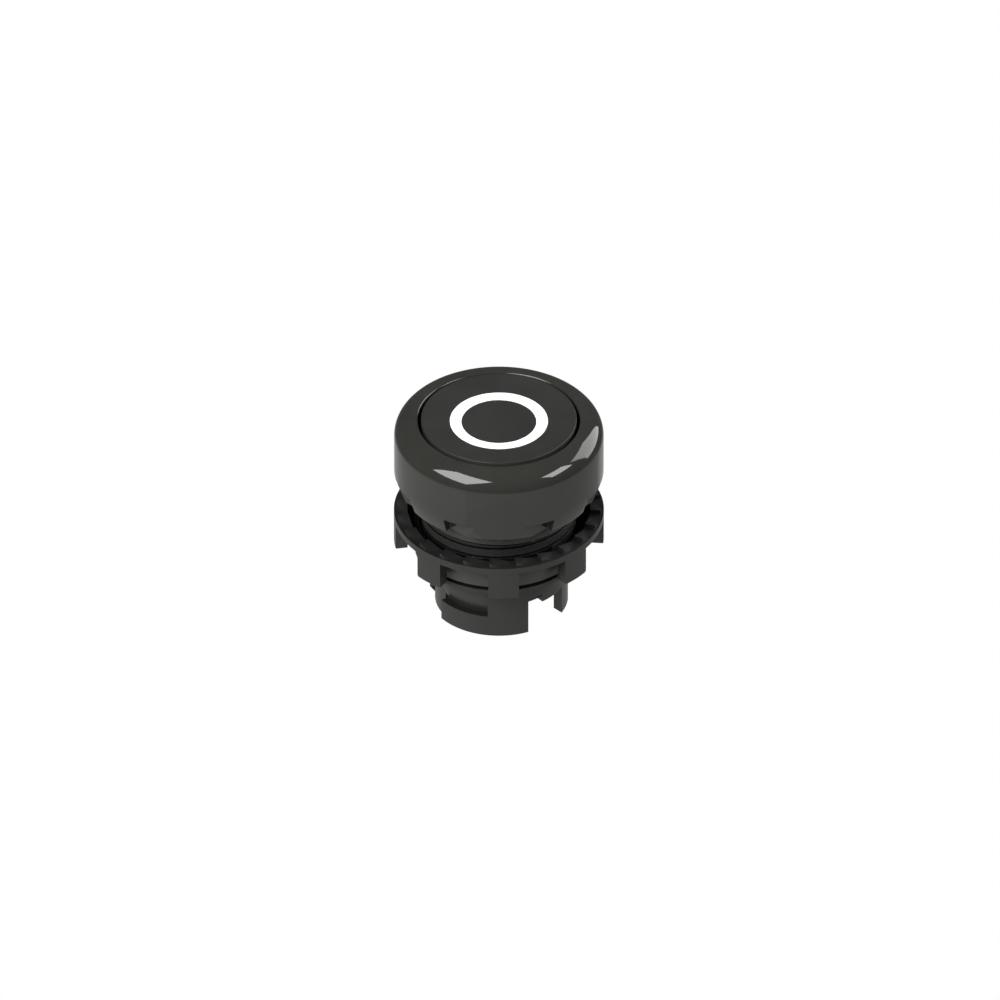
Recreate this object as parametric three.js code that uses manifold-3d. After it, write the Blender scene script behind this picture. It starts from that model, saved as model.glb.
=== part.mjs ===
// Flush push-button actuator for a 22 mm panel hole: bezel, cap with an inlaid ring symbol, spring-return
// plunger, sealed threaded body with a bayonet socket below, and a castellated fixing nut.
// Millimetres, +Z up along the button axis, the ends of the bayonet legs on z = 0.
import * as THREE from 'three';
import * as BufferGeometryUtils from 'three/addons/utils/BufferGeometryUtils.js';
import Module from 'manifold-3d';

const wasm = await Module();
wasm.setup();

// ---------------------------------------------------------------- driving dimensions
const CAP_R = 10.95;            // cap radius
const CAP_EDGE_Z = 30.6;        // top edge of the cap
const DISH_Z = 29.9;            // bottom of the concave dish
const DISH_K = 0.006;           // dish curve, z = DISH_Z + DISH_K r^2
const CAP_RIM_BOTTOM_Z = 28.6;  // underside of the cap's rim
const CAP_SEAT_Z = 28.0;        // underside of the cap's centre
const SYMBOL_IN_R = 5.22;       // inlaid ring, inner and outer radius
const SYMBOL_OUT_R = 6.94;
const SYMBOL_DEPTH = 0.55;
const INLAY_GAP = 0.04;
const SPIGOT_R = 5.0;           // peg under the cap

const PLUNGER_R = 9.1;
const PLUNGER_WALL = 1.2;
const PLUNGER_BOTTOM_Z = 14.4;
const STEM_R = 2.6;
const RAM_R = 5.8;
const RAM_BOTTOM_Z = 5.6;
const RAM_TOP_Z = 8.1;

const SPRING_R = 5.9;           // mean radius of the return spring
const SPRING_WIRE_R = 0.4;
const SPRING_TURNS = 5.5;
const SPRING_BOTTOM_Z = 10.15;  // centre of the wire at each end
const SPRING_TOP_Z = 24.95;

const BEZEL_R = 14.75;
const BEZEL_TOP_Z = 30.45;
const BEZEL_BORE_R = 11.4;
const BEZEL_RIM_Z = 21.85;      // where the wall turns in to the tapered foot
const BEZEL_BOTTOM_Z = 19.4;    // face that meets the panel
const BEZEL_FOOT_R = 13.9;
const BEZEL_FLAT = 12.6;        // distance of the four flats from the axis
const BEZEL_PAD_HALF = 3.1;     // half width of the pad left on each flat
const BEZEL_SLEEVE_R = 11.8;    // bore around the neck of the body
const BEZEL_LEDGE_Z = 22.1;     // ledge the body's lugs snap over
const BEZEL_CAVITY_R = 13.5;
const BEZEL_SHOULDER_Z = 25.5;

const THREAD_R = 10.95;         // crest of the M22 thread
const THREAD_ROOT_R = 10.35;
const THREAD_PITCH = 1.5;
const THREAD_BOTTOM_Z = 10.0;
const THREAD_TOP_Z = 16.4;
const NECK_R = 10.5;
const GASKET_R = 11.4;          // sleeve round the neck, under the bezel
const BODY_BORE_R = 9.4;
const BODY_TOP_Z = 22.9;
const COLLAR_R = 11.9;          // thin collar the nut stops at
const COLLAR_TOP_Z = 9.32;
const COLLAR_BOTTOM_Z = 8.7;
const SHELF_TOP_Z = 9.7;        // shelf under the spring
const SHELF_BOTTOM_Z = 8.5;
const SHELF_HOLE_R = 3.0;
const SOCKET_R = 8.3;           // bayonet socket for the contact block
const SKIRT_R = 9.8;            // outside of the socket
const GROOVE_R = 9.03;          // shallow grooves between the posts and the legs
const SLOT_WIDTH = 6.66;        // through slots on the X axis
const SLOT_HEIGHT = 4.4;
const RELIEF_R = 8.75;          // relief beside each slot, in the outer layer only
const SHORT_POST_Z = 0.9;       // end of the shorter post
const POCKET_TOP_Z = 6.3;       // bayonet ramp, flush with the skirt here
const POCKET_LEDGE_Z = 3.19;    // and deepest here
const POCKET_R = 8.7;
const LUG_R = 12.6;
const LUG_BOTTOM_Z = 22.3;

const NUT_R = 14.8;
const NUT_TOP_Z = 15.06;
const NUT_FLANGE_Z = 14.06;     // underside of the flange
const NUT_FACE_IN_R = 12.9;     // inner edge of the toothed face
const NUT_BORE_R = 11.1;
const NUT_RECESS_Z = 13.2;      // floor of the recess round the thread
const NUT_SKIRT_R = 13.05;
const NUT_STEP_Z = 12.6;
const NUT_LOW_R = 11.95;
const NUT_BOTTOM_Z = 9.88;
const TAB_COUNT = 8;
const TAB_R = 14.8;
const TAB_BOTTOM_Z = 9.95;
const TAB_ANGLE = 16.8;
const TAB_START = -42.4;        // centre of the first tab, degrees
const TOOTH_COUNT = 24;
const TOOTH_START = 9.7;        // radial step of the first tooth, degrees
const TOOTH_OUT_R = 14.42;
const TOOTH_HEIGHT = 0.6;
const TOOTH_SPAN_OUT = 5.0;     // length of a tooth's ramp at its outer and its inner edge, degrees
const TOOTH_SPAN_IN = 12.0;

const BEZEL_SEGMENTS = 60;
const OUTER_SEGMENTS = 48;
const INNER_SEGMENTS = 40;
const BODY_SEGMENTS = 40;       // barrel and thread share their stations
const RADIANS = Math.PI / 180;

// ---------------------------------------------------------------- helpers
function volumeOf(position, index) {
  const a = new THREE.Vector3();
  const b = new THREE.Vector3();
  const c = new THREE.Vector3();
  let sum = 0;
  for (let i = 0; i < index.length; i += 3) {
    a.fromBufferAttribute(position, index[i]);
    b.fromBufferAttribute(position, index[i + 1]);
    c.fromBufferAttribute(position, index[i + 2]);
    sum += a.dot(b.cross(c));
  }
  return sum / 6;
}

// One closed manifold solid from any closed geometry, turned to face outwards.
function solid(source) {
  const bare = source.clone();
  for (const name of ['normal', 'uv', 'color']) {
    if (bare.hasAttribute(name)) bare.deleteAttribute(name);
  }
  const welded = BufferGeometryUtils.mergeVertices(bare, 1e-5);
  const triangles = [];
  for (let i = 0; i < welded.index.count; i += 3) {
    const a = welded.index.getX(i);
    const b = welded.index.getX(i + 1);
    const c = welded.index.getX(i + 2);
    if (a !== b && b !== c && c !== a) triangles.push(a, b, c);
  }
  if (volumeOf(welded.attributes.position, triangles) < 0) {
    for (let i = 0; i < triangles.length; i += 3) {
      const keep = triangles[i];
      triangles[i] = triangles[i + 1];
      triangles[i + 1] = keep;
    }
  }
  return new wasm.Manifold(new wasm.Mesh({
    numProp: 3,
    vertProperties: new Float32Array(welded.attributes.position.array),
    triVerts: new Uint32Array(triangles),
  }));
}

function geometryOf(manifold) {
  const mesh = manifold.getMesh();
  const geometry = new THREE.BufferGeometry();
  geometry.setAttribute('position', new THREE.BufferAttribute(new Float32Array(mesh.vertProperties), 3));
  geometry.setIndex(new THREE.BufferAttribute(new Uint32Array(mesh.triVerts), 1));
  const flat = geometry.toNonIndexed();
  flat.computeVertexNormals();
  return flat;
}

// A profile of [radius, height] pairs turned about the Z axis.
function turned(profile, segments = OUTER_SEGMENTS) {
  const points = profile.map(([r, z]) => new THREE.Vector2(Math.max(r, 0), z));
  const closed = profile[0][0] > 0 || profile[profile.length - 1][0] > 0;
  if (closed) points.push(points[0].clone());
  const geometry = new THREE.LatheGeometry(points, segments);
  geometry.rotateX(Math.PI / 2);
  return solid(geometry);
}

// A profile of [radius, height] pairs swept from one angle to another, rising on the way.
function swept(profile, fromDegrees, toDegrees, steps, rise = 0) {
  const outline = profile.map(([r, z]) => new THREE.Vector2(r, z));
  if (THREE.ShapeUtils.isClockWise(outline)) outline.reverse();
  const count = outline.length;
  const vertices = [];
  for (let i = 0; i <= steps; i += 1) {
    const share = i / steps;
    const angle = (fromDegrees + (toDegrees - fromDegrees) * share) * RADIANS;
    for (const point of outline) {
      vertices.push(point.x * Math.cos(angle), point.x * Math.sin(angle), point.y + rise * share);
    }
  }
  const index = [];
  for (let i = 0; i < steps; i += 1) {
    for (let j = 0; j < count; j += 1) {
      const a = i * count + j;
      const b = i * count + ((j + 1) % count);
      index.push(b, a, a + count, b, a + count, b + count);
    }
  }
  const last = steps * count;
  for (const [a, b, c] of THREE.ShapeUtils.triangulateShape(outline, [])) {
    const clockwise = THREE.ShapeUtils.isClockWise([outline[a], outline[b], outline[c]]);
    const [p, q] = clockwise ? [c, b] : [b, c];
    index.push(a, p, q, last + a, last + q, last + p);
  }
  const geometry = new THREE.BufferGeometry();
  geometry.setAttribute('position', new THREE.Float32BufferAttribute(vertices, 3));
  geometry.setIndex(index);
  return solid(geometry);
}

// An arc-shaped block between two radii, two heights and two angles.
function arcBlock(r0, r1, z0, z1, fromDegrees, toDegrees, steps = 6) {
  return swept([[r0, z0], [r1, z0], [r1, z1], [r0, z1]], fromDegrees, toDegrees, steps);
}

function box(x0, x1, y0, y1, z0, z1) {
  const geometry = new THREE.BoxGeometry(x1 - x0, y1 - y0, z1 - z0);
  geometry.translate((x0 + x1) / 2, (y0 + y1) / 2, (z0 + z1) / 2);
  return solid(geometry);
}

function arcPoints(cr, cz, radius, fromDegrees, toDegrees, steps) {
  const points = [];
  for (let i = 0; i <= steps; i += 1) {
    const angle = (fromDegrees + ((toDegrees - fromDegrees) * i) / steps) * RADIANS;
    points.push([cr + radius * Math.cos(angle), cz + radius * Math.sin(angle)]);
  }
  return points;
}

const group = new THREE.Group();
group.name = 'push_button';

function addPiece(name, manifold, color, roughness, metalness = 0) {
  const material = new THREE.MeshStandardMaterial({ color, roughness, metalness });
  const mesh = new THREE.Mesh(geometryOf(manifold), material);
  mesh.name = name;
  group.add(mesh);
}

const dish = (r) => DISH_Z + DISH_K * r * r;

// ---------------------------------------------------------------- cap and its inlaid ring
function buttonCap() {
  const grooveIn = SYMBOL_IN_R - INLAY_GAP;
  const grooveOut = SYMBOL_OUT_R + INLAY_GAP;
  const grooveFloor = dish(SYMBOL_IN_R) - SYMBOL_DEPTH - INLAY_GAP;
  const bevel = 0.15;
  return turned([
    [0, CAP_SEAT_Z - 1.2], [SPIGOT_R, CAP_SEAT_Z - 1.2], [SPIGOT_R, CAP_SEAT_Z],
    [9.0, CAP_SEAT_Z], [9.0, CAP_RIM_BOTTOM_Z],
    [CAP_R - bevel, CAP_RIM_BOTTOM_Z], [CAP_R, CAP_RIM_BOTTOM_Z + bevel],
    [CAP_R, CAP_EDGE_Z - bevel], [CAP_R - bevel, CAP_EDGE_Z],
    [9.6, dish(9.6)], [8.3, dish(8.3)], [grooveOut, dish(grooveOut)], [grooveOut, grooveFloor],
    [grooveIn, grooveFloor], [grooveIn, dish(grooveIn)], [2.8, dish(2.8)], [0, DISH_Z],
  ]);
}

function symbolRing() {
  const floor = dish(SYMBOL_IN_R) - SYMBOL_DEPTH;
  const middle = (SYMBOL_IN_R + SYMBOL_OUT_R) / 2;
  return turned([
    [SYMBOL_IN_R, floor], [SYMBOL_OUT_R, floor], [SYMBOL_OUT_R, dish(SYMBOL_OUT_R)],
    [middle, dish(middle)], [SYMBOL_IN_R, dish(SYMBOL_IN_R)],
  ]);
}

// ---------------------------------------------------------------- plunger, ram and return spring
function plunger() {
  const wallIn = PLUNGER_R - PLUNGER_WALL;
  return turned([
    [0, 6.6], [STEM_R, 6.6], [STEM_R, 25.4], [wallIn, 25.4], [wallIn, PLUNGER_BOTTOM_Z],
    [PLUNGER_R, PLUNGER_BOTTOM_Z], [PLUNGER_R, 26.3], [8.6, 26.3], [8.6, 27.4], [PLUNGER_R, 27.4],
    [PLUNGER_R, 27.8], [8.9, 27.95], [SPIGOT_R + 0.2, 27.95], [SPIGOT_R + 0.2, 26.6], [0, 26.6],
  ], INNER_SEGMENTS);
}

function ram() {
  const edge = 0.3;
  return turned([
    [0, RAM_BOTTOM_Z], [RAM_R - edge, RAM_BOTTOM_Z], [RAM_R, RAM_BOTTOM_Z + edge],
    [RAM_R, RAM_TOP_Z - edge], [RAM_R - edge, RAM_TOP_Z],
    [STEM_R + 0.1, RAM_TOP_Z], [STEM_R + 0.1, 6.5], [0, 6.5],
  ], INNER_SEGMENTS);
}

class Coil extends THREE.Curve {
  getPoint(t, target = new THREE.Vector3()) {
    const angle = t * SPRING_TURNS * 2 * Math.PI;
    const z = SPRING_BOTTOM_Z + (SPRING_TOP_Z - SPRING_BOTTOM_Z) * t;
    return target.set(SPRING_R * Math.cos(angle), SPRING_R * Math.sin(angle), z);
  }
}

function returnSpring() {
  const section = new THREE.Shape();
  const sides = 6;
  for (let i = 0; i < sides; i += 1) {
    const angle = (i / sides) * 2 * Math.PI;
    const x = SPRING_WIRE_R * Math.cos(angle);
    const y = SPRING_WIRE_R * Math.sin(angle);
    if (i === 0) section.moveTo(x, y);
    else section.lineTo(x, y);
  }
  section.closePath();
  return solid(new THREE.ExtrudeGeometry(section, {
    steps: Math.round(SPRING_TURNS * 20), curveSegments: 1, bevelEnabled: false, extrudePath: new Coil(),
  }));
}

// ---------------------------------------------------------------- seals
function diaphragmSeal() {
  return turned([
    [8.7, 26.5], [9.4, 26.5], [9.4, 26.55], [11.9, 24.72], [11.9, 23.9], [13.2, 23.9],
    [13.2, 25.2], [12.1, 25.2], [9.45, 27.05], [9.4, 27.2], [8.7, 27.2],
  ], INNER_SEGMENTS);
}

function sealClampRing() {
  return turned([[11.3, 23.1], [13.2, 23.1], [13.2, 23.75], [11.3, 23.75]], INNER_SEGMENTS);
}

function panelGasket() {
  const sleeve = turned([
    [NECK_R + 0.05, 16.75], [GASKET_R - 0.1, 16.75], [GASKET_R, 16.85], [GASKET_R, 21.0], [NECK_R + 0.05, 21.0],
  ], INNER_SEGMENTS);
  const mark = arcBlock(11.1, 11.6, 17.35, 17.8, -47.8, -40.2, 3);
  return sleeve.add(mark);
}

function bezelSeal() {
  return turned(arcPoints(11.15, 21.58, 0.48, 0, 315, 7), INNER_SEGMENTS);
}

// ---------------------------------------------------------------- bezel
function bezel() {
  const fillet = 2.7;
  const crown = arcPoints(BEZEL_R - fillet, BEZEL_TOP_Z - fillet, fillet, 0, 90, 7);
  const lip = arcPoints(BEZEL_BORE_R + 0.3, BEZEL_TOP_Z - 0.3, 0.3, 90, 180, 2);
  let shell = turned([
    [BEZEL_SLEEVE_R, BEZEL_BOTTOM_Z], [BEZEL_FOOT_R, BEZEL_BOTTOM_Z], [BEZEL_R, BEZEL_RIM_Z],
    ...crown, ...lip,
    [BEZEL_BORE_R, 27.2], [12.4, 25.7], [12.4, BEZEL_SHOULDER_Z], [BEZEL_CAVITY_R, BEZEL_SHOULDER_Z],
    [BEZEL_CAVITY_R, BEZEL_LEDGE_Z], [BEZEL_SLEEVE_R, BEZEL_LEDGE_Z],
  ], BEZEL_SEGMENTS);
  for (let side = 0; side < 4; side += 1) {
    for (const hand of [-1, 1]) {
      const near = hand * BEZEL_PAD_HALF;
      const far = hand * 9.5;
      const notch = box(BEZEL_FLAT, 16, Math.min(near, far), Math.max(near, far), 18, BEZEL_RIM_Z);
      shell = shell.subtract(notch.rotate([0, 0, 90 * side]));
    }
  }
  return shell;
}

// ---------------------------------------------------------------- body
function threadGroove() {
  const half = 0.3;
  const turns = (THREAD_TOP_Z - THREAD_BOTTOM_Z + 0.5) / THREAD_PITCH;
  const steps = Math.round(turns * BODY_SEGMENTS);
  return swept(
    [[THREAD_ROOT_R, THREAD_BOTTOM_Z], [THREAD_R + 0.3, THREAD_BOTTOM_Z - half],
      [THREAD_R + 0.3, THREAD_BOTTOM_Z + half]],
    0, (360 * steps) / BODY_SEGMENTS, steps, (THREAD_PITCH * steps) / BODY_SEGMENTS,
  );
}

function body() {
  const barrel = turned([
    [SKIRT_R, 0], [SKIRT_R, COLLAR_BOTTOM_Z], [COLLAR_R, COLLAR_BOTTOM_Z], [COLLAR_R, COLLAR_TOP_Z],
    [THREAD_ROOT_R, COLLAR_TOP_Z], [THREAD_ROOT_R, THREAD_BOTTOM_Z], [THREAD_R, THREAD_BOTTOM_Z + 0.4],
    [THREAD_R, THREAD_TOP_Z], [NECK_R, THREAD_TOP_Z],
    [NECK_R, BODY_TOP_Z], [9.8, BODY_TOP_Z], [9.8, 21.0], [BODY_BORE_R, 20.6], [BODY_BORE_R, SHELF_TOP_Z],
    [SHELF_HOLE_R, SHELF_TOP_Z], [SHELF_HOLE_R, SHELF_BOTTOM_Z], [SOCKET_R, SHELF_BOTTOM_Z], [SOCKET_R, 0],
  ], BODY_SEGMENTS);
  let shape = barrel.subtract(threadGroove());
  for (let i = 0; i < 4; i += 1) {
    const middle = 45 + 90 * i;
    const lug = swept(
      [[NECK_R - 0.3, LUG_BOTTOM_Z], [LUG_R, LUG_BOTTOM_Z], [LUG_R, LUG_BOTTOM_Z + 0.2],
        [LUG_R - 0.4, BODY_TOP_Z], [NECK_R - 0.3, BODY_TOP_Z]],
      middle - 16, middle + 16, 5,
    );
    shape = shape.add(lug);
  }
  shape = shape.subtract(box(-12, 12, -SLOT_WIDTH / 2, SLOT_WIDTH / 2, -1, SLOT_HEIGHT));
  for (const turn of [0, 180]) {
    const groove = arcBlock(GROOVE_R, 11, -1, SHELF_BOTTOM_Z - 0.2, 39, 79, 5);
    const relief = arcBlock(RELIEF_R, 11, SLOT_HEIGHT - 0.2, SLOT_HEIGHT + 1.2, -21, -6.3, 2);
    const pocket = swept(
      [[POCKET_R, POCKET_LEDGE_Z], [SKIRT_R + 1, POCKET_LEDGE_Z], [SKIRT_R + 1, POCKET_TOP_Z],
        [SKIRT_R + 0.03, POCKET_TOP_Z]],
      78.5, 125.7, 5,
    );
    for (const cut of [groove, relief, pocket]) shape = shape.subtract(cut.rotate([0, 0, turn]));
  }
  // One of the two posts is shorter, which keys the contact block.
  return shape.subtract(arcBlock(7.5, 11, -1, SHORT_POST_Z, 195, 219.02, 3));
}

// ---------------------------------------------------------------- fixing nut
// One saw tooth: a radial step, then a ramp that falls back to the face, longer at the inner edge.
function tooth(degrees) {
  const sink = 0.3;
  const at = (r, angle, z) => {
    const a = (degrees + angle) * RADIANS;
    return [r * Math.cos(a), r * Math.sin(a), z];
  };
  const corners = [
    at(NUT_FACE_IN_R, 0, NUT_TOP_Z - sink), at(TOOTH_OUT_R, 0, NUT_TOP_Z - sink),
    at(TOOTH_OUT_R, TOOTH_SPAN_OUT, NUT_TOP_Z - sink), at(NUT_FACE_IN_R + 0.07, TOOTH_SPAN_IN, NUT_TOP_Z - sink),
    at(NUT_FACE_IN_R, 0, NUT_TOP_Z + TOOTH_HEIGHT), at(TOOTH_OUT_R, 0, NUT_TOP_Z + TOOTH_HEIGHT),
    at(TOOTH_OUT_R, TOOTH_SPAN_OUT, NUT_TOP_Z + 0.02), at(NUT_FACE_IN_R + 0.07, TOOTH_SPAN_IN, NUT_TOP_Z + 0.02),
  ];
  return wasm.Manifold.hull(corners);
}

function ringNut() {
  let nut = turned([
    [NUT_BORE_R, NUT_BOTTOM_Z], [NUT_LOW_R, NUT_BOTTOM_Z], [NUT_LOW_R, NUT_STEP_Z],
    [NUT_SKIRT_R, NUT_STEP_Z], [NUT_SKIRT_R, NUT_FLANGE_Z], [NUT_R, NUT_FLANGE_Z], [NUT_R, NUT_TOP_Z],
    [NUT_FACE_IN_R, NUT_TOP_Z], [12.4, NUT_TOP_Z - 0.9], [12.3, NUT_RECESS_Z], [NUT_BORE_R, NUT_RECESS_Z],
  ]);
  for (let i = 0; i < TAB_COUNT; i += 1) {
    const middle = TAB_START + (360 / TAB_COUNT) * i;
    const half = TAB_ANGLE / 2;
    const corner = 2.0;
    const wide = arcBlock(12.9, TAB_R, TAB_BOTTOM_Z + 0.5, 14.4, middle - half, middle + half, 4);
    const tip = arcBlock(13.1, TAB_R, TAB_BOTTOM_Z, 12.0, middle - half + corner, middle + half - corner, 3);
    nut = nut.add(wide.add(tip));
  }
  nut = nut.subtract(turned([
    [NUT_LOW_R + 0.02, 8], [13.08, 8], [13.08, NUT_STEP_Z - 0.01], [NUT_LOW_R + 0.02, NUT_STEP_Z - 0.01],
  ]));
  for (let i = 0; i < TOOTH_COUNT; i += 1) {
    nut = nut.add(tooth(TOOTH_START + (360 / TOOTH_COUNT) * i));
  }
  return nut;
}

// ---------------------------------------------------------------- assembly
addPiece('button_cap', buttonCap(), 0x20201e, 0.42);
addPiece('symbol_ring', symbolRing(), 0xf6f6f4, 0.45);
addPiece('plunger', plunger(), 0x2a2a28, 0.5);
addPiece('ram', ram(), 0x2c2c2a, 0.5);
addPiece('return_spring', returnSpring(), 0xa9abae, 0.3, 1);
addPiece('diaphragm_seal', diaphragmSeal(), 0x171716, 0.8);
addPiece('seal_clamp_ring', sealClampRing(), 0xb4b5b5, 0.35, 1);
addPiece('bezel', bezel(), 0x2b2b28, 0.28);
addPiece('bezel_seal', bezelSeal(), 0x151514, 0.8);
addPiece('panel_gasket', panelGasket(), 0x1c1c1a, 0.75);
addPiece('body', body(), 0x2a2a28, 0.5);
addPiece('ring_nut', ringNut(), 0x222220, 0.55);

export default group;
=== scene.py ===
import math

import bmesh
import bpy
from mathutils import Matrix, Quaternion, Vector


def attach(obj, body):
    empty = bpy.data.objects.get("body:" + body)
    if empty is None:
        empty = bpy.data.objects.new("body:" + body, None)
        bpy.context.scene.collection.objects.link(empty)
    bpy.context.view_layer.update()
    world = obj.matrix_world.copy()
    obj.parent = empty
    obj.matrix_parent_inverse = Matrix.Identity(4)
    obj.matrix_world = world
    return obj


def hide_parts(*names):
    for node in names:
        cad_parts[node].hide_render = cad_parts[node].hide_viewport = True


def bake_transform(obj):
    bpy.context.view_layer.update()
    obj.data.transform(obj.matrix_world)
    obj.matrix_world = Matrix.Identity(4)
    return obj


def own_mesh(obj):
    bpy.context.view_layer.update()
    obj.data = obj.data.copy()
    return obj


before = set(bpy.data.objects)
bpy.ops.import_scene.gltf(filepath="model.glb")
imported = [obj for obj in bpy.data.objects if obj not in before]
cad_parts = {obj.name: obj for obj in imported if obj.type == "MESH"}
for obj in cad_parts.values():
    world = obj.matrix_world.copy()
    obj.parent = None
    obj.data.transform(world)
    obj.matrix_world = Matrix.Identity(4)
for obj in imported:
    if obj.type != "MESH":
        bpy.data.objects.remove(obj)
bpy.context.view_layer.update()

MM = 0.001
DEG = math.pi / 180.0
scene = bpy.context.scene

# ------------------------------------------------------------------ camera
VIEW_AZIMUTH = 45.0
VIEW_ELEVATION = 35.264
FRAME_WIDTH = 0.1409           # metres across the frame at the object
LENS = 1000.0
SENSOR = 36.0
CENTRE = Vector((0.00011, 0.00011, 0.01652))


def direction(azimuth, elevation):
    """Unit vector from the object towards a viewer at that azimuth and elevation."""
    a, e = azimuth * DEG, elevation * DEG
    return Vector((math.sin(a) * math.cos(e), -math.cos(a) * math.cos(e), math.sin(e)))


def make_camera():
    data = bpy.data.cameras.new("camera")
    data.type = "PERSP"
    data.lens = LENS
    data.sensor_width = SENSOR
    distance = FRAME_WIDTH * LENS / SENSOR
    data.clip_start = 0.05
    data.clip_end = 40.0
    cam = bpy.data.objects.new("camera", data)
    scene.collection.objects.link(cam)
    back = direction(VIEW_AZIMUTH, VIEW_ELEVATION)
    cam.location = CENTRE + back * distance
    cam.rotation_mode = "QUATERNION"
    cam.rotation_quaternion = (-back).to_track_quat("-Z", "Y")
    scene.camera = cam


make_camera()

# ------------------------------------------------------------------ dimensions, millimetres
CAP_R, CAP_EDGE_Z, DISH_Z, DISH_K = 10.95, 30.6, 29.9, 0.006
SYMBOL_IN, SYMBOL_OUT = 5.26, 6.9
BEZEL_R, BEZEL_TOP, BEZEL_BORE = 14.75, 30.45, 11.4
BEZEL_RIM_Z, BEZEL_BOTTOM_Z, BEZEL_FOOT_R, BEZEL_FLAT = 21.85, 19.4, 13.9, 12.6
PAD_ANGLE = 13.0
NECK_GASKET_R = 11.4
THREAD_R, THREAD_ROOT, PITCH = 10.95, 10.35, 1.5
THREAD_Z0, THREAD_Z1 = 10.0, 16.4
COLLAR_R, COLLAR_Z, COLLAR_UNDER_Z = 11.9, 9.3, 8.7
SOCKET_R, SKIRT_R, GROOVE_R, RELIEF_R = 8.3, 9.8, 9.03, 8.75
SLOT_HALF, SLOT_Z = 3.33, 4.4
NUT_R, NUT_TOP, NUT_FLANGE_Z, NUT_FACE_R = 14.8, 15.06, 14.06, 12.9
TAB_R, TAB_Z, TAB_HALF, TAB_FIRST, TAB_PITCH, TAB_COUNT = 14.8, 9.95, 8.4, -42.4, 45.0, 8
TOOTH_FIRST, TOOTH_HEIGHT, TOOTH_OUT_R, TOOTH_SPAN_OUT, TOOTH_SPAN_IN = 9.7, 0.6, 14.42, 5.0, 12.0
TOOTH_PITCH, TOOTH_COUNT = 15.0, 24
MARK_ANGLE, MARK_HALF, MARK_Z0, MARK_Z1, MARK_RAISE = -44.0, 3.8, 17.35, 17.8, 0.18
PAINTED_SHADE_TOP_Z = 13.75           # the barrel is painted near black as shade below this, inside the nut


def dish(r):
    return DISH_Z + DISH_K * r * r


# ------------------------------------------------------------------ mesh helpers
def arc(cr, cz, radius, start, end, steps):
    """Points of an arc in the radius-height plane."""
    return [(cr + radius * math.cos((start + (end - start) * i / steps) * DEG),
             cz + radius * math.sin((start + (end - start) * i / steps) * DEG)) for i in range(steps + 1)]


def soften(profile, radius=0.15, steps=3, closed=True):
    """Rounds every corner of a radius-height profile that turns by more than 25 degrees."""
    out = []
    n = len(profile)
    for i, point in enumerate(profile):
        here = Vector(point[:2])
        size = point[2] if len(point) > 2 else radius
        if not closed and i in (0, n - 1):
            out.append(tuple(here))
            continue
        before = Vector(profile[i - 1][:2])
        after = Vector(profile[(i + 1) % n][:2])
        a, b = before - here, after - here
        if a.length < 1e-6 or b.length < 1e-6 or size <= 0:
            out.append(tuple(here))
            continue
        turn = math.pi - a.angle(b)
        if turn < 25 * DEG:
            out.append(tuple(here))
            continue
        reach = min(size * math.tan(turn / 2), a.length * 0.45, b.length * 0.45)
        p, q = here + a.normalized() * reach, here + b.normalized() * reach
        for k in range(steps + 1):
            t = k / steps
            out.append(tuple(p * (1 - t) ** 2 + here * (2 * t * (1 - t)) + q * t * t))
    return out


def build(name, vertices, faces, body, node, slot, angle=32.0, bevel=0.0):
    """Makes a mesh piece from millimetre vertices, welds it, and lets it ride in place of its CAD node."""
    mesh = bpy.data.meshes.new(name)
    mesh.from_pydata([(x * MM, y * MM, z * MM) for x, y, z in vertices], [], faces)
    bm = bmesh.new()
    bm.from_mesh(mesh)
    bmesh.ops.remove_doubles(bm, verts=bm.verts, dist=2e-6)
    bmesh.ops.dissolve_degenerate(bm, edges=bm.edges, dist=1e-6)
    bmesh.ops.recalc_face_normals(bm, faces=bm.faces)
    bm.to_mesh(mesh)
    bm.free()
    for polygon in mesh.polygons:
        polygon.use_smooth = True
    mesh.set_sharp_from_angle(angle=angle * DEG)
    obj = bpy.data.objects.new(name, mesh)
    scene.collection.objects.link(obj)
    if bevel > 0:
        mod = obj.modifiers.new("edge", "BEVEL")
        mod.width = bevel * MM
        mod.segments = 2
        mod.limit_method = "ANGLE"
        mod.angle_limit = 35 * DEG
        mod.harden_normals = True
        mod.miter_outer = "MITER_ARC"
    if body:
        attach(obj, body)
    if node:
        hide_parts(node)
    return obj


def lathe(name, profile, body, node, slot, segments=192, closed=True, **options):
    """Turns a radius-height profile about the button's axis."""
    vertices, faces = [], []
    n = len(profile)
    for i in range(segments):
        a = 2 * math.pi * i / segments
        for r, z in profile:
            vertices.append((r * math.cos(a), r * math.sin(a), z))
    for i in range(segments):
        k = ((i + 1) % segments) * n
        for j in range(n if closed else n - 1):
            m = (j + 1) % n
            faces.append((i * n + j, k + j, k + m, i * n + m))
    return build(name, vertices, faces, body, node, slot, **options)


def loft(name, stations, body, node, slot, ring=True, **options):
    """Joins neighbouring closed outlines, each a list of points, all of one length, round the axis."""
    n = len(stations[0])
    vertices = [p for s in stations for p in s]
    faces = []
    count = len(stations)
    for i in range(count if ring else count - 1):
        k = (i + 1) % count
        for j in range(n):
            m = (j + 1) % n
            faces.append((i * n + j, k * n + j, k * n + m, i * n + m))
    return build(name, vertices, faces, body, node, slot, **options)


def polar(r, degrees, z):
    return (r * math.cos(degrees * DEG), r * math.sin(degrees * DEG), z)


def turn_between(a, b):
    """Signed angle from b to a, in -180..180."""
    return (a - b + 180.0) % 360.0 - 180.0


# ------------------------------------------------------------------ materials
def principled(name):
    mat = bpy.data.materials.new(name)
    mat.use_nodes = True
    return mat, mat.node_tree.nodes, mat.node_tree.links, mat.node_tree.nodes["Principled BSDF"]


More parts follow.
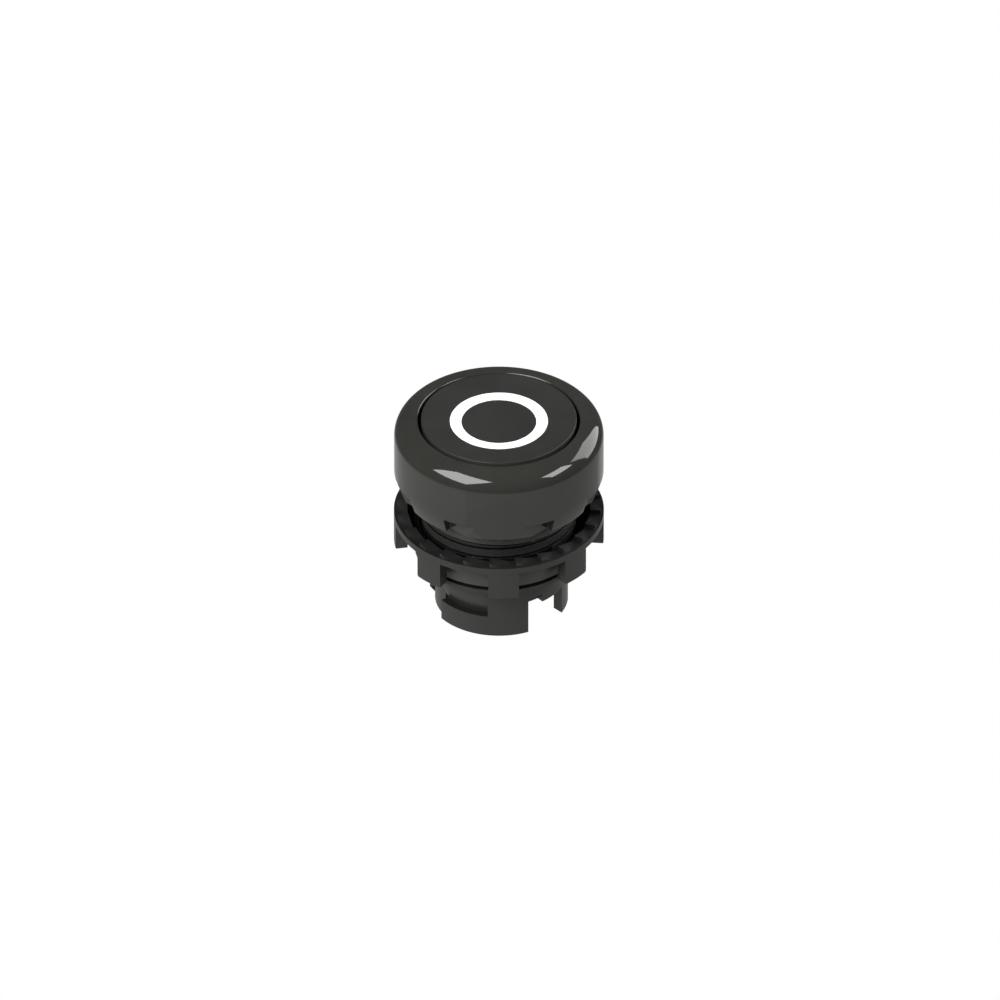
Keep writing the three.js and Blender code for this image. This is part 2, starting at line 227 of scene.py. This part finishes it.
def add(nodes, kind, **values):
    node = nodes.new(kind)
    for key, value in values.items():
        if key in node.inputs:
            node.inputs[key].default_value = value
        else:
            setattr(node, key, value)
    return node


def ramp(nodes, links, source, low, high, start=0.3, end=0.7):
    node = nodes.new("ShaderNodeMapRange")
    node.inputs["From Min"].default_value = start
    node.inputs["From Max"].default_value = end
    node.inputs["To Min"].default_value = low
    node.inputs["To Max"].default_value = high
    links.new(source, node.inputs["Value"])
    return node.outputs["Result"]


def plastic(name, colour, rough, spread=0.05, grain=0.02, grain_scale=9000.0, cloud=0.1, specular=0.5):
    """Moulded plastic: faint cloudy colour and gloss, a fine spark-eroded grain in the bump."""
    mat, nodes, links, shader = principled(name)
    place = nodes.new("ShaderNodeTexCoord")
    clouds = add(nodes, "ShaderNodeTexNoise", Scale=160.0, Detail=4.0, Roughness=0.55)
    fine = add(nodes, "ShaderNodeTexNoise", Scale=grain_scale, Detail=2.0, Roughness=0.6)
    links.new(place.outputs["Object"], clouds.inputs["Vector"])
    links.new(place.outputs["Object"], fine.inputs["Vector"])
    mix = nodes.new("ShaderNodeMix")
    mix.data_type = "RGBA"
    mix.inputs["A"].default_value = (*[c * (1 - cloud) for c in colour], 1)
    mix.inputs["B"].default_value = (*[c * (1 + cloud) for c in colour], 1)
    links.new(ramp(nodes, links, clouds.outputs["Fac"], 0.0, 1.0), mix.inputs["Factor"])
    links.new(mix.outputs["Result"], shader.inputs["Base Color"])
    links.new(ramp(nodes, links, clouds.outputs["Fac"], rough - spread / 2, rough + spread / 2),
              shader.inputs["Roughness"])
    bump = add(nodes, "ShaderNodeBump", Strength=grain, Distance=0.00002)
    links.new(fine.outputs["Fac"], bump.inputs["Height"])
    links.new(bump.outputs["Normal"], shader.inputs["Normal"])
    shader.inputs["Specular IOR Level"].default_value = specular
    shader.inputs["IOR"].default_value = 1.49
    return mat


def rubber(name, colour, rough=0.62):
    return plastic(name, colour, rough, spread=0.1, grain=0.12, grain_scale=6000.0, cloud=0.15, specular=0.4)


def metal(name, colour, rough, stretch=(1.0, 1.0, 40.0)):
    """Bright steel with fine drawn or brushed lines."""
    mat, nodes, links, shader = principled(name)
    place = nodes.new("ShaderNodeTexCoord")
    mapping = nodes.new("ShaderNodeMapping")
    mapping.inputs["Scale"].default_value = stretch
    links.new(place.outputs["Object"], mapping.inputs["Vector"])
    lines = add(nodes, "ShaderNodeTexNoise", Scale=900.0, Detail=5.0, Roughness=0.6)
    links.new(mapping.outputs["Vector"], lines.inputs["Vector"])
    mix = nodes.new("ShaderNodeMix")
    mix.data_type = "RGBA"
    mix.inputs["A"].default_value = (*[c * 0.86 for c in colour], 1)
    mix.inputs["B"].default_value = (*colour, 1)
    links.new(lines.outputs["Fac"], mix.inputs["Factor"])
    links.new(mix.outputs["Result"], shader.inputs["Base Color"])
    links.new(ramp(nodes, links, lines.outputs["Fac"], rough - 0.06, rough + 0.08), shader.inputs["Roughness"])
    bump = add(nodes, "ShaderNodeBump", Strength=0.12, Distance=0.00002)
    links.new(lines.outputs["Fac"], bump.inputs["Height"])
    links.new(bump.outputs["Normal"], shader.inputs["Normal"])
    shader.inputs["Metallic"].default_value = 1.0
    return mat


CAP_BLACK = plastic("cap_black", (0.0235, 0.0235, 0.0224), 0.46, grain=0.05, specular=0.3)
BEZEL_BLACK = plastic("bezel_black", (0.026, 0.0257, 0.0232), 0.055, spread=0.015, grain=0.006)
BODY_BLACK = plastic("body_black", (0.024, 0.0236, 0.0220), 0.34, grain=0.06)
NUT_BLACK = plastic("nut_black", (0.025, 0.0246, 0.0230), 0.36, grain=0.06)
# Painted shade: a darker copy of the black plastic, for faces that lie in shade or face up.
PAINTED_SHADE_DARK = plastic("painted_shade_dark", (0.0085, 0.0085, 0.0083), 0.55, grain=0.25, grain_scale=3500.0,
                         specular=0.3)
# Painted light: a lighter copy of the nut's black, for the skirt's sides.
SKIRT_PAINTED_LIGHT = plastic("skirt_painted_light", (0.050, 0.0493, 0.0460), 0.36, grain=0.06)
THREAD_BLACK = plastic("thread_black", (0.020, 0.0198, 0.0188), 0.5, grain=0.5, grain_scale=3500.0, specular=0.7)
# Painted shade: near black, for recesses and grooves where shade falls.
PAINTED_SHADE_BLACK = plastic("painted_shade_black", (0.002, 0.002, 0.002), 0.7, grain=0.2, grain_scale=3500.0, specular=0.15)
INSIDE_BLACK = plastic("inside_black", (0.028, 0.028, 0.027), 0.42, grain=0.06)
SYMBOL_WHITE = plastic("symbol_white", (0.93, 0.93, 0.92), 0.4, grain=0.03, cloud=0.012)
GASKET_BLACK = rubber("gasket_black", (0.072, 0.072, 0.0698), 0.5)
SEAL_BLACK = rubber("seal_black", (0.015, 0.015, 0.015))
WIRE = metal("spring_wire", (0.62, 0.63, 0.65), 0.26)
SHEET_STEEL = metal("ring_sheet", (0.66, 0.66, 0.67), 0.34, stretch=(30.0, 1.0, 1.0))


def dress(obj, mat):
    obj.data.materials.clear()
    obj.data.materials.append(mat)
    return obj


def finish_or_paint_light(obj, mat, chosen):
    """Gives another material to the faces picked by their centre and normal: a surface finish, or painted light or
    shade.
    """
    obj.data.materials.append(mat)
    for polygon in obj.data.polygons:
        if chosen(polygon.center, polygon.normal):
            polygon.material_index = len(obj.data.materials) - 1


# ------------------------------------------------------------------ cap and symbol
def cap():
    """The dished cap, with the groove that the symbol lies in."""
    groove_in, groove_out = SYMBOL_IN - 0.02, SYMBOL_OUT + 0.02
    floor = dish(SYMBOL_IN) - 0.6
    under = [(0.0, 26.8), (5.0, 26.8), (5.0, 28.0), (9.0, 28.0), (9.0, 28.6), (10.75, 28.6), (CAP_R, 28.9)]
    rim = arc(CAP_R - 0.12, CAP_EDGE_Z - 0.12, 0.12, 0, 90, 5)
    top = [(r, dish(r)) for r in (10.6, 10.2, 9.7, 9.1, 8.5, 7.9, 7.4)]
    groove = [(groove_out + 0.03, dish(groove_out)), (groove_out, dish(groove_out) - 0.04), (groove_out, floor),
              (groove_in, floor), (groove_in, dish(groove_in) - 0.04), (groove_in - 0.03, dish(groove_in))]
    middle = [(r, dish(r)) for r in (4.6, 3.9, 3.1, 2.2, 1.2, 0.0)]
    dress(lathe("cap", under + rim + top + groove + middle, "button", "button_cap", "cap_plastic",
                closed=False), CAP_BLACK)


def symbol():
    """The ring inlaid in the cap."""
    floor = dish(SYMBOL_IN) - 0.55
    rs = [SYMBOL_IN + (SYMBOL_OUT - SYMBOL_IN) * i / 8 for i in range(9)]
    top = [(r, dish(r)) for r in rs]
    top[0] = (rs[0], dish(rs[0]) - 0.03)
    top[-1] = (rs[-1], dish(rs[-1]) - 0.03)
    top.insert(1, (rs[0] + 0.03, dish(rs[0] + 0.03)))
    top.insert(-1, (rs[-1] - 0.03, dish(rs[-1] - 0.03)))
    profile = [(SYMBOL_OUT, floor), (SYMBOL_IN, floor)] + top
    dress(lathe("symbol", profile, "button", "symbol_ring", "symbol_plastic"), SYMBOL_WHITE)


# ------------------------------------------------------------------ bezel
def bezel():
    """The head ring: a rounded crown, and a tapered foot with four notched flats and four pads."""
    fillet = 2.7
    crown = arc(BEZEL_R - fillet, BEZEL_TOP - fillet, fillet, 0, 90, 22)
    lip = arc(BEZEL_BORE + 0.3, BEZEL_TOP - 0.3, 0.3, 90, 180, 6)
    inner = soften([(BEZEL_BORE, 27.2, 0.2), (12.4, 25.8, 0.2), (12.4, 25.5, 0.0), (13.5, 25.5, 0.1),
                    (13.5, 22.1, 0.1), (11.8, 22.1, 0.15)], closed=False)
    slope = (BEZEL_R - BEZEL_FOOT_R) / (BEZEL_RIM_Z - BEZEL_BOTTOM_Z)

    def outline(degrees, side):
        alpha = abs(turn_between(degrees, 90.0 * round(degrees / 90.0)))
        notched = alpha > PAD_ANGLE + 1e-6 or (abs(alpha - PAD_ANGLE) < 1e-6 and side > 0)
        flat = BEZEL_FLAT / math.cos(alpha * DEG) if notched else 99.0
        low = min(flat, BEZEL_FOOT_R)
        meet = BEZEL_BOTTOM_Z if flat <= BEZEL_FOOT_R else min(
            BEZEL_RIM_Z, BEZEL_BOTTOM_Z + (flat - BEZEL_FOOT_R) / slope)
        meet_r = min(flat, BEZEL_R)
        foot = [(11.8, BEZEL_BOTTOM_Z), (low, BEZEL_BOTTOM_Z), (meet_r, meet),
                (meet_r, BEZEL_RIM_Z), (BEZEL_R, BEZEL_RIM_Z)]
        wall = [(BEZEL_R, z) for z in (23.2, 24.6, 26.2)]
        return [polar(r, degrees, z) for r, z in foot + wall + crown + lip + inner]

    angles = []
    for k in range(4):
        centre = 90.0 * k
        # 24.98 and 31.33 are where the flat runs out through the foot and through the rim.
        marks = [0, 3.5, 7, 10, PAD_ANGLE, 16, 19, 22, 24.98, 28, 31.33, 35, 38.5, 42]
        for m in marks:
            for hand in ((1,) if m == 0 else (-1, 1)):
                if m == PAD_ANGLE:
                    angles += [(centre + hand * m, -1 if hand > 0 else 1, hand)]
                    angles += [(centre + hand * m, 1 if hand > 0 else -1, hand)]
                else:
                    angles.append((centre + hand * m, 0, hand))
        angles.append((centre + 45.0, 0, 1))
    # At a pad's edge the first outline met going round is the pad's on one side and the notch's on the other.
    angles.sort(key=lambda a: (round(a[0], 4), a[1]))
    stations = [outline(a, s * h) for a, s, h in angles]
    dress(loft("bezel_ring", stations, "housing", "bezel", "bezel_plastic", bevel=0.12), BEZEL_BLACK)


# ------------------------------------------------------------------ nut
def tooth_height(degrees, r, after_step):
    """Height of the saw teeth over the nut's face: a radial step, then a ramp that is shorter further out."""
    share = (r - NUT_FACE_R) / (TOOTH_OUT_R - NUT_FACE_R)
    span = TOOTH_SPAN_IN + (TOOTH_SPAN_OUT - TOOTH_SPAN_IN) * share
    beyond = (degrees - TOOTH_FIRST) % TOOTH_PITCH
    if beyond < 1e-6 or beyond > TOOTH_PITCH - 1e-6:
        return TOOTH_HEIGHT if after_step else 0.0
    return TOOTH_HEIGHT * max(0.0, 1.0 - beyond / span)


def nut():
    """The fixing nut: a toothed face, a flange and tabs that hang from it."""
    tabs = [TAB_FIRST + TAB_PITCH * k for k in range(TAB_COUNT)]
    corner = 0.3

    def outline(degrees, side, after_step=True):
        edge = min((abs(turn_between(degrees, t)) - TAB_HALF for t in tabs))
        inside = edge < -1e-6 or (abs(edge) <= 1e-6 and side < 0)
        bottom = TAB_Z
        if inside:
            along = min(corner, max(0.0, -edge) * DEG * TAB_R)
            bottom += corner - math.sqrt(max(0.0, corner ** 2 - (corner - along) ** 2))
        points = [(11.1, 10.05), (11.3, 9.9), (11.91, 9.9), (11.95, 9.94), (11.95, 12.6)]
        if inside:
            points += [(13.1, 12.6), (13.1, bottom), (TAB_R - 0.1, bottom), (TAB_R, bottom + 0.1),
                       (TAB_R, NUT_FLANGE_Z)]
        else:
            # Every outline has the same number of points, so one repeats here.
            points += [(13.05, 12.6), (13.05, 12.6), (13.05, 13.4), (13.05, NUT_FLANGE_Z),
                       (TAB_R, NUT_FLANGE_Z)]
        points += [(NUT_R - 0.02, NUT_FLANGE_Z), (NUT_R, NUT_FLANGE_Z + 0.02), (NUT_R, NUT_TOP - 0.02),
                   (NUT_R - 0.02, NUT_TOP), (TOOTH_OUT_R, NUT_TOP)]
        for i in range(5):
            r = TOOTH_OUT_R + (NUT_FACE_R - TOOTH_OUT_R) * i / 4
            points.append((r, NUT_TOP + tooth_height(degrees, r, after_step)))
        points += [(NUT_FACE_R, NUT_TOP - 0.02), (NUT_FACE_R - 0.5, NUT_TOP - 0.9), (12.3, 13.2), (11.25, 13.2),
                   (11.1, 13.05)]
        return [polar(r, degrees, z) for r, z in points]

    marks = {}
    for t in tabs:
        for a in (0.0, 0.15, 0.45, 0.9, 1.4, 1.96):
            marks.setdefault(round((t - TAB_HALF + a) % 360.0, 3), "")
            marks.setdefault(round((t + TAB_HALF - a) % 360.0, 3), "")
        marks[round((t - TAB_HALF) % 360.0, 3)] = "tab begins"
        marks[round((t + TAB_HALF) % 360.0, 3)] = "tab ends"
    for k in range(TOOTH_COUNT):
        t = TOOTH_FIRST + TOOTH_PITCH * k
        marks[round(t % 360.0, 3)] = "step"
        for share in (TOOTH_SPAN_OUT, TOOTH_SPAN_OUT * 0.5, 7.0, 9.0, TOOTH_SPAN_IN, 13.5):
            marks.setdefault(round((t + share) % 360.0, 3), "")
    stations = []
    for angle in sorted(marks):
        kind = marks[angle]
        if kind == "tab begins":
            stations += [outline(angle, 1), outline(angle, -1)]
        elif kind == "tab ends":
            stations += [outline(angle, -1), outline(angle, 1)]
        elif kind == "step":
            stations += [outline(angle, 0, False), outline(angle, 0, True)]
        else:
            stations.append(outline(angle, 0))
    piece = dress(loft("fixing_nut", stations, "nut", "ring_nut", "nut_plastic", bevel=0.035, angle=20.0), NUT_BLACK)
    # Painted shade on the nut's upward faces and its tooth steps, which lie under the bezel's overhang.
    finish_or_paint_light(piece, PAINTED_SHADE_DARK, lambda c, n: c.z > 13.1 * MM and c.xy.length < NUT_R * MM - 1e-5 and n.z > 0.1 or
           c.z > (NUT_TOP + 0.01) * MM and n.xy.dot(c.xy.normalized()) < 0.5)
    # Painted light on the skirt's sides, lighter than the rest of the nut.
    finish_or_paint_light(piece, SKIRT_PAINTED_LIGHT, lambda c, n: c.z < NUT_FLANGE_Z * MM and c.xy.length < 13.12 * MM and abs(n.z) < 0.1)
    # Painted shade in the recess between the nut's face and the barrel.
    finish_or_paint_light(piece, PAINTED_SHADE_BLACK, lambda c, n: 13.0 * MM < c.z < (NUT_TOP - 0.005) * MM and c.xy.length < 12.95 * MM)


# ------------------------------------------------------------------ body
def body():
    """The threaded barrel and the bayonet socket below it, as outlines joined round the axis."""
    def thread(degrees):
        share = degrees / 360.0
        points = []
        for k in range(-1, 6):
            z0 = THREAD_Z0 + PITCH * (k + share)
            for dz, r in ((-0.19, THREAD_R), (-0.18, THREAD_R - 0.01), (-0.10, THREAD_ROOT), (0.10, THREAD_ROOT),
                          (0.18, THREAD_R - 0.01), (0.19, THREAD_R)):
                z = z0 + dz
                low, high = THREAD_Z0 + 0.2, THREAD_Z1 - 0.2
                if z <= low:
                    points.append((THREAD_R, low))
                elif z >= high:
                    points.append((THREAD_R, high))
                else:
                    fade = min(1.0, (z - low) / 0.3, (high - z) / 0.3)
                    points.append((THREAD_R - (THREAD_R - r) * fade, z))
        return points

    def outline(kind, degrees, planar):
        """kind says what the wall is here: leg, pocket, slot, relief, groove, post or short."""
        bottom = {"slot": SLOT_Z, "relief": SLOT_Z, "short": 0.9}.get(kind, 0.0)
        side = GROOVE_R if kind == "groove" else SKIRT_R
        lower = [(SOCKET_R, bottom)]
        if kind == "pocket":
            lower += [(side, 0.0), (side, 3.19), (8.7, 3.19), (side, 6.3), (side, 8.3)]
        elif kind == "relief":
            lower += [(RELIEF_R, bottom), (RELIEF_R, 4.8), (RELIEF_R, 5.6), (side, 5.6), (side, 8.3)]
        else:
            lower += [(side, bottom), (side, max(bottom, 3.19)), (side, max(bottom, 4.6)), (side, 6.3), (side, 8.3)]
        step = [(SKIRT_R, 8.3), (SKIRT_R, COLLAR_UNDER_Z), (COLLAR_R, COLLAR_UNDER_Z), (COLLAR_R, COLLAR_Z),
                (THREAD_ROOT, COLLAR_Z), (THREAD_ROOT, THREAD_Z0 - 0.2), (THREAD_R, THREAD_Z0 + 0.15)]
        upper = [(THREAD_R, THREAD_Z1 - 0.05), (THREAD_R - 0.05, THREAD_Z1), (10.5, THREAD_Z1), (10.5, 22.9),
                 (9.8, 22.9), (9.8, 21.0), (9.4, 20.6), (9.4, 9.7), (3.0, 9.7), (3.0, 8.5), (SOCKET_R, 8.5),
                 (SOCKET_R, 6.0)]
        profile = lower + step + thread(degrees) + upper
        points = []
        for i, (r, z) in enumerate(profile):
            angle = degrees
            if planar is not None and (i < len(lower) or i >= len(profile) - 2):
                centre, hand = planar
                angle = centre + hand * math.asin(SLOT_HALF / r) / DEG
            points.append(polar(r, angle, z))
        return points

    edge = math.asin(SLOT_HALF / SKIRT_R) / DEG
    stations = []

    def run(kind, start, end, step=4.0):
        count = max(1, round((end - start) / step))
        return [(kind, start + (end - start) * i / count, None) for i in range(count + 1)]

    for base, post in ((0.0, "post"), (180.0, "short")):
        part = []
        part += [("relief", base - edge, (base, -1))]
        part += run("relief", base - 17, base - 6.3)
        part += run("slot", base - 6.3, base + 15)
        part += [("slot", base + edge, (base, 1)), (post, base + edge, (base, 1))]
        part += run(post, base + 26, base + 39)
        part += run("groove", base + 39, base + 79)
        part += run("pocket", base + 79, base + 125.7)
        part += run("leg", base + 125.7, base + 154)
        part += [("leg", base + 180 - edge, (base + 180.0, -1))]
        stations += part
    stations.append(("relief", 360.0 - edge, (360.0, -1)))
    outlines = [outline(*s) for s in stations]
    piece = dress(loft("barrel_body", outlines, "housing", "body", "body_plastic", ring=False, bevel=0.08),
                  BODY_BLACK)
    # Painted shade on the body's upward faces below the collar.
    finish_or_paint_light(piece, PAINTED_SHADE_DARK, lambda c, n: n.z > 0.6)
    finish_or_paint_light(piece, THREAD_BLACK, lambda c, n: c.z > COLLAR_Z * MM + 1e-5)
    # Painted shade on the barrel inside the nut and in the thread's grooves.
    finish_or_paint_light(piece, PAINTED_SHADE_BLACK, lambda c, n: c.xy.length > 10.0 * MM and COLLAR_Z * MM + 1e-5 < c.z and
           (c.z < PAINTED_SHADE_TOP_Z * MM or c.z < THREAD_Z1 * MM - 1e-5 and c.xy.length < (THREAD_R - 0.03) * MM and
            abs(n.z) > 0.05))


def lugs():
    """The snap lugs at the top of the neck, seen only with the bezel off."""
    for k in range(4):
        middle = 45.0 + 90.0 * k
        profile = soften([(10.3, 22.3), (12.6, 22.3), (12.6, 22.5), (12.2, 22.9), (10.3, 22.9)], radius=0.08)
        stations = [[polar(r, middle - 16 + 32 * i / 12, z) for r, z in profile] for i in range(13)]
        n = len(profile)
        vertices = [p for s in stations for p in s]
        faces = [(i * n + j, (i + 1) * n + j, (i + 1) * n + (j + 1) % n, i * n + (j + 1) % n)
                 for i in range(12) for j in range(n)]
        faces += [tuple(range(n)), tuple(12 * n + j for j in range(n))]
        dress(build(f"snap_lug_{k + 1}", vertices, faces, "housing", None, "body_plastic"), BODY_BLACK)


# ------------------------------------------------------------------ seals, plunger, ram, spring
def gasket():
    """The sleeve under the bezel's foot, with its raised index mark."""
    marks = [MARK_ANGLE - MARK_HALF, MARK_ANGLE + MARK_HALF]

    def outline(degrees, side):
        off = abs(turn_between(degrees, MARK_ANGLE)) - MARK_HALF
        raised = off < -1e-6 or (abs(off) < 1e-6 and side < 0)
        out = NECK_GASKET_R + (MARK_RAISE if raised else 0.0)
        points = [(10.55, 16.85), (10.65, 16.75), (11.3, 16.75), (NECK_GASKET_R, 16.85), (NECK_GASKET_R, MARK_Z0),
                  (out, MARK_Z0), (out, MARK_Z1), (NECK_GASKET_R, MARK_Z1), (NECK_GASKET_R, 18.4),
                  (NECK_GASKET_R, 19.0), (11.42, 20.9), (11.3, 21.0), (10.65, 21.0), (10.55, 20.9)]
        return [polar(r, degrees, z) for r, z in points]

    angles = [(marks[0], 1), (marks[0], -1), (MARK_ANGLE, 0), (marks[1], -1), (marks[1], 1)]
    rest = [marks[1] + (360.0 - 2 * MARK_HALF) * i / 90 for i in range(1, 90)]
    stations = [outline(a, s) for a, s in angles] + [outline(a, 0) for a in rest]
    dress(loft("neck_gasket", stations, "housing", "panel_gasket", "seal_rubber"), GASKET_BLACK)


def inner_pieces():
    """What the bezel hides: the seals, the clamp ring, the cap's carrier and the pusher at its foot."""
    ring = arc(11.15, 21.58, 0.47, 0, 330, 11)
    dress(lathe("o_ring", ring, "housing", "bezel_seal", "seal_rubber", segments=96), SEAL_BLACK)
    clamp = soften([(11.3, 23.1), (13.2, 23.1), (13.2, 23.75), (11.3, 23.75)], radius=0.12)
    dress(lathe("clamp_ring", clamp, "housing", "seal_clamp_ring", "ring_steel", segments=96), SHEET_STEEL)
    seal = soften([(8.7, 26.5), (9.4, 26.5), (9.4, 26.55), (11.9, 24.72), (11.9, 23.9), (13.2, 23.9), (13.2, 25.2),
                   (12.1, 25.2), (9.45, 27.05), (9.4, 27.2), (8.7, 27.2)], radius=0.12)
    diaphragm = dress(lathe("diaphragm", seal, None, "diaphragm_seal", "seal_rubber", segments=96), SEAL_BLACK)
    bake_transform(diaphragm)

    carrier = soften([(0.0, 6.6), (2.6, 6.6), (2.6, 25.4, 0.4), (7.9, 25.4, 0.5), (7.9, 14.4), (9.1, 14.4), (9.1, 26.3),
                      (8.6, 26.3), (8.6, 27.4), (9.1, 27.4), (9.1, 27.8), (8.9, 27.95), (5.2, 27.95), (5.2, 26.6),
                      (0.0, 26.6)], radius=0.1, closed=False)
    dress(lathe("carrier", carrier, "button", "plunger", "body_plastic", segments=96, closed=False), INSIDE_BLACK)

    foot = soften([(0.0, 5.6), (1.6, 5.6, 0.2), (1.9, 5.85, 0.1), (3.6, 5.85, 0.1), (3.9, 5.6, 0.2), (5.8, 5.6, 0.35),
                   (5.8, 8.1, 0.3), (2.7, 8.1), (2.7, 6.5), (0.0, 6.5)], radius=0.1, closed=False)
    dress(lathe("pusher", foot, "button", "ram", "body_plastic", segments=96, closed=False), INSIDE_BLACK)


def spring():
    """The return spring, a coil of round wire."""
    turns, wire, mean = 5.5, 0.4, 5.9
    z0, z1 = 10.15, 24.95
    steps, sides = 240, 12
    vertices, faces = [], []
    for i in range(steps + 1):
        t = i / steps
        a = t * turns * 2 * math.pi
        pitch_slope = (z1 - z0) / (turns * 2 * math.pi * mean)
        radial = Vector((math.cos(a), math.sin(a), 0))
        tangent = Vector((-math.sin(a), math.cos(a), pitch_slope)).normalized()
        up = radial.cross(tangent).normalized()
        centre = radial * mean + Vector((0, 0, z0 + (z1 - z0) * t))
        for k in range(sides):
            b = 2 * math.pi * k / sides
            vertices.append(tuple(centre + radial * (wire * math.cos(b)) + up * (wire * math.sin(b))))
    for i in range(steps):
        for k in range(sides):
            m = (k + 1) % sides
            faces.append((i * sides + k, (i + 1) * sides + k, (i + 1) * sides + m, i * sides + m))
    faces += [tuple(range(sides)), tuple(steps * sides + k for k in range(sides))]
    coil = dress(build("coil_spring", vertices, faces, "housing", "return_spring", "spring_steel"), WIRE)
    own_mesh(coil)


cap()
symbol()
bezel()
nut()
body()
lugs()
gasket()
inner_pieces()
spring()


# ------------------------------------------------------------------ stage and light
def white_emitter(name):
    mat = bpy.data.materials.new(name)
    mat.use_nodes = True
    nodes, links = mat.node_tree.nodes, mat.node_tree.links
    nodes.remove(nodes["Principled BSDF"])
    glow = add(nodes, "ShaderNodeEmission", Color=(1, 1, 1, 1), Strength=1.0)
    links.new(glow.outputs["Emission"], nodes["Material Output"].inputs["Surface"])
    return mat


FLOOR_HALF = 3.0               # metres
FLOOR_Z = -0.0003              # just under the part, in metres
BACKDROP_R = 9.0               # metres
LIGHT_DISTANCE = 1.0           # metres from the object to each softbox


def make_stage():
    """A pale floor and a pale dome, both seen by the camera only, so the lights alone shape the object."""
    half = FLOOR_HALF
    mesh = bpy.data.meshes.new("floor")
    mesh.from_pydata([(-half, -half, 0), (half, -half, 0), (half, half, 0), (-half, half, 0)], [], [(0, 1, 2, 3)])
    floor = bpy.data.objects.new("floor", mesh)
    floor.location.z = FLOOR_Z
    dome_mesh = bpy.data.meshes.new("backdrop")
    bm = bmesh.new()
    bmesh.ops.create_icosphere(bm, subdivisions=3, radius=BACKDROP_R)
    bm.to_mesh(dome_mesh)
    bm.free()
    dome = bpy.data.objects.new("backdrop", dome_mesh)
    for obj in (floor, dome):
        scene.collection.objects.link(obj)
        obj.data.materials.append(white_emitter(obj.name + "_white"))
        obj.visible_diffuse = False
        obj.visible_glossy = False
        obj.visible_transmission = False
        obj.visible_shadow = False


def area_light(name, azimuth, elevation, width, height, strength, roll):
    """A softbox that faces the object. Strength is its radiance, width and height its size at one metre."""
    data = bpy.data.lights.new(name, "AREA")
    data.shape = "RECTANGLE"
    data.size = width * LIGHT_DISTANCE
    data.size_y = height * LIGHT_DISTANCE
    data.energy = strength * data.size * data.size_y * math.pi
    obj = bpy.data.objects.new(name, data)
    scene.collection.objects.link(obj)
    back = direction(azimuth, elevation)
    obj.location = CENTRE + back * LIGHT_DISTANCE
    obj.rotation_mode = "QUATERNION"
    obj.rotation_quaternion = back.to_track_quat("Z", "Y") @ Quaternion((0, 0, 1), roll * DEG)
    obj.visible_camera = False


def make_world():
    """Room light: the pale floor's bounce below, a dim room above."""
    world = bpy.data.worlds.new("studio")
    scene.world = world
    world.use_nodes = True
    nodes, links = world.node_tree.nodes, world.node_tree.links
    background = nodes["Background"]
    background.inputs["Color"].default_value = (1.0, 0.995, 0.97, 1)
    place = nodes.new("ShaderNodeTexCoord")
    split = nodes.new("ShaderNodeSeparateXYZ")
    links.new(place.outputs["Generated"], split.inputs["Vector"])

    def along(azimuth):
        node = add(nodes, "ShaderNodeVectorMath", operation="DOT_PRODUCT")
        node.inputs[1].default_value = direction(azimuth, 0.0)
        links.new(place.outputs["Generated"], node.inputs[0])
        return node.outputs["Value"]

    bounce = add(nodes, "ShaderNodeMath", operation="ADD")
    links.new(ramp(nodes, links, along(VIEW_AZIMUTH), 0.36, 0.66, -0.5, 0.7), bounce.inputs[0])
    links.new(ramp(nodes, links, along(-81.7), 0.0, 0.13, -0.02, 0.02), bounce.inputs[1])
    level = nodes.new("ShaderNodeMix")
    level.inputs["B"].default_value = 0.10
    links.new(ramp(nodes, links, split.outputs["Z"], 0.0, 1.0, -0.52, -0.36), level.inputs["Factor"])
    links.new(bounce.outputs["Value"], level.inputs["A"])
    links.new(level.outputs["Result"], background.inputs["Strength"])


make_stage()
make_world()
area_light("front_left_box", -1.8, 40.5, 0.80, 0.74, 9.0, roll=-20.0)
area_light("right_box", 114.9, 33.0, 0.50, 0.34, 8.5, roll=15.0)
area_light("back_right_box", 165.6, 21.7, 0.73, 0.78, 4.2, roll=4.6)
scene.view_settings.view_transform = "Standard"
scene.view_settings.look = "None"
